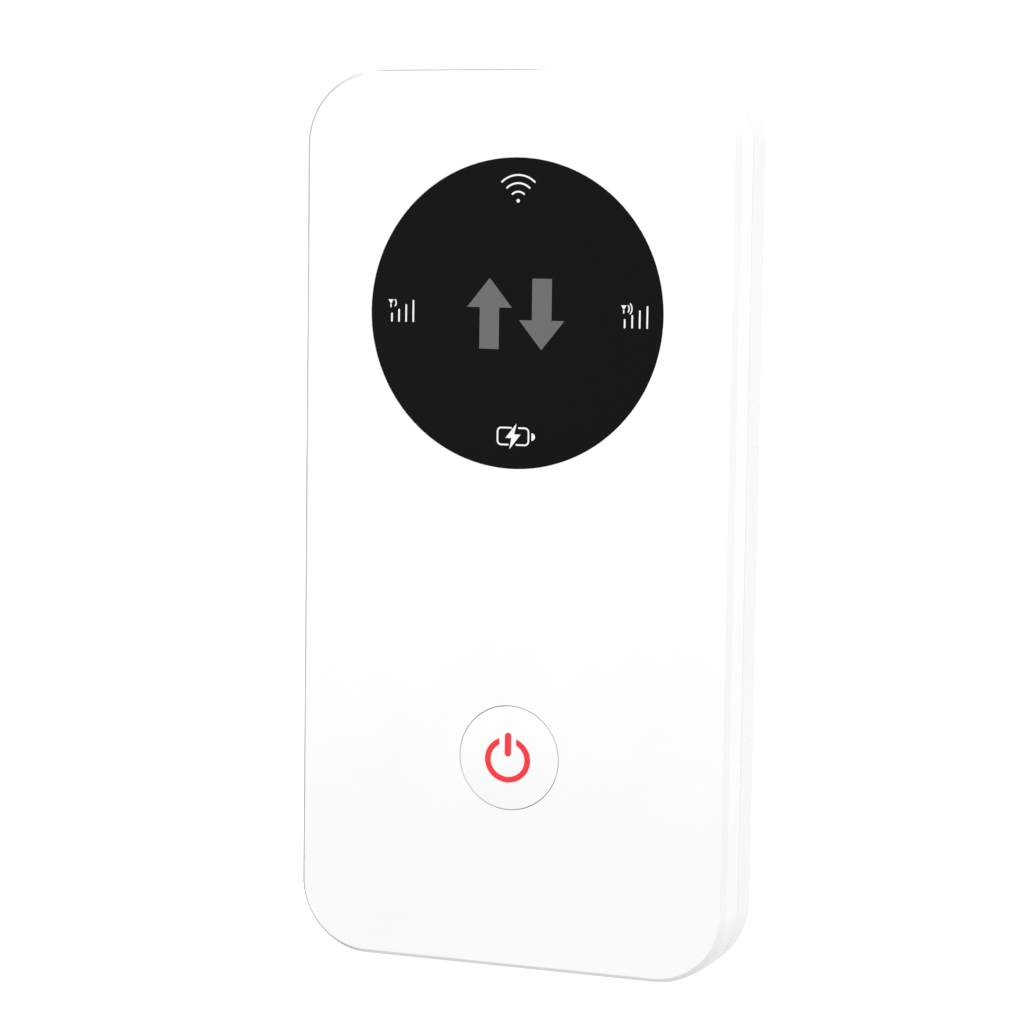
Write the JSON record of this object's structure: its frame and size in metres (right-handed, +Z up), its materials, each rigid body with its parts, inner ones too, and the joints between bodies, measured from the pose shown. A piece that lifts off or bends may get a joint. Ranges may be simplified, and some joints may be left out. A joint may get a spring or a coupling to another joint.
{
  "type": "mobile hotspot",
  "caption": "Upright pocket mobile hotspot: rounded white slab case with a round black status window, a round power button, a card tray and a charging port.",
  "frame": {"origin": "on the ground under the middle of the case, halfway through its width and its thickness", "axes": "+Z up the long side, +Y through the thickness from the face to the back, +X across, to the right as the face is seen"},
  "size_m": [0.0728, 0.016, 0.1428],
  "materials": {
    "front_cover": "smooth white, light gloss",
    "back_shell": "smooth white, satin",
    "power_button": "smooth white with a red power symbol",
    "display_window": "opaque black glass, polished",
    "adhesive": "black foam tape and black moulding",
    "diffuser": "milky film",
    "lamp": "clear epoxy over a yellow phosphor",
    "screw": "plated steel",
    "foot": "soft grey rubber",
    "antenna": "copper on a flexible strip",
    "circuit_board": "green solder mask on glass fibre",
    "chip": "black moulding compound",
    "shield": "tinned sheet steel",
    "thermal_pad": "soft filled silicone",
    "heat_spreader": "plain rolled sheet",
    "battery": "foil pouch",
    "connector": "ivory nylon",
    "wire_red": "red insulation",
    "wire_black": "black insulation",
    "sim_tray": "smooth white, satin",
    "sim_card": "plain card with a gold contact side",
    "icon_white": "white print on the window",
    "icon_grey": "grey print on the window",
    "icon_red": "red print on the button",
    "label": "blank white label"
  },
  "bodies": {
    "case": {"antenna_left_lower": "antenna", "antenna_left_upper": "antenna", "antenna_right_lower": "antenna", "antenna_right_upper": "antenna", "back_shell": "back_shell", "battery": "battery", "battery_adhesive": "adhesive", "battery_plug": "chip", "battery_socket": "connector", "battery_wire_black": "wire_black", "battery_wire_red": "wire_red", "blank_label": "label", "board_screw_1": "screw", "board_screw_2": "screw", "board_screw_3": "screw", "board_screw_4": "screw", "case_screw_1": "screw", "case_screw_2": "screw", "case_screw_3": "screw", "case_screw_4": "screw", "diffuser_film": "diffuser", "display_window": "display_window", "foot_1": "foot", "foot_2": "foot", "foot_3": "foot", "foot_4": "foot", "front_cover": "front_cover", "heat_spreader": "heat_spreader", "led_battery": "lamp", "led_centre_left": "lamp", "led_centre_right": "lamp", "led_signal_left": "lamp", "led_signal_right": "lamp", "led_wifi": "lamp", "light_mask": "adhesive", "main_board": "circuit_board", "memory_chip": "chip", "modem_chip": "chip", "modem_shield": "shield", "power_chip": "chip", "power_inductor": "chip", "reset_switch_body": "shield", "sim_socket": "shield", "switch_body": "shield", "thermal_pad": "thermal_pad", "usb_c_shell": "shield", "usb_c_tongue": "chip", "wifi_antenna_bottom": "antenna", "wifi_antenna_top": "antenna", "wifi_chip": "chip", "wifi_shield": "shield", "window_adhesive": "adhesive"},
    "power_button": {"power_button": "power_button"},
    "switch_plunger": {"switch_plunger": "chip"},
    "sim_tray": {"sim_tray": "sim_tray", "sim_card": "sim_card"},
    "reset_plunger": {"reset_plunger": "chip"}
  },
  "joints": [
    {"name": "power_button_press", "type": "slide", "parent": "case", "child": "power_button", "axis": [0, 1, 0], "range_m": [0, 0.0003], "stiffness_N_per_m": 400},
    {"name": "switch_plunger_press", "type": "slide", "parent": "case", "child": "switch_plunger", "axis": [0, 1, 0], "range_m": [0, 0.00035]},
    {"name": "sim_tray_slide", "type": "slide", "parent": "case", "child": "sim_tray", "axis": [0, 0, 1], "range_m": [0, 0.016]},
    {"name": "reset_press", "type": "slide", "parent": "case", "child": "reset_plunger", "axis": [0, 0, 1], "range_m": [0, 0.00025], "stiffness_N_per_m": 200}
  ],
  "couplings": [
    {"joint": "switch_plunger_press", "follows": "power_button_press", "ratio": 1}
  ]
}
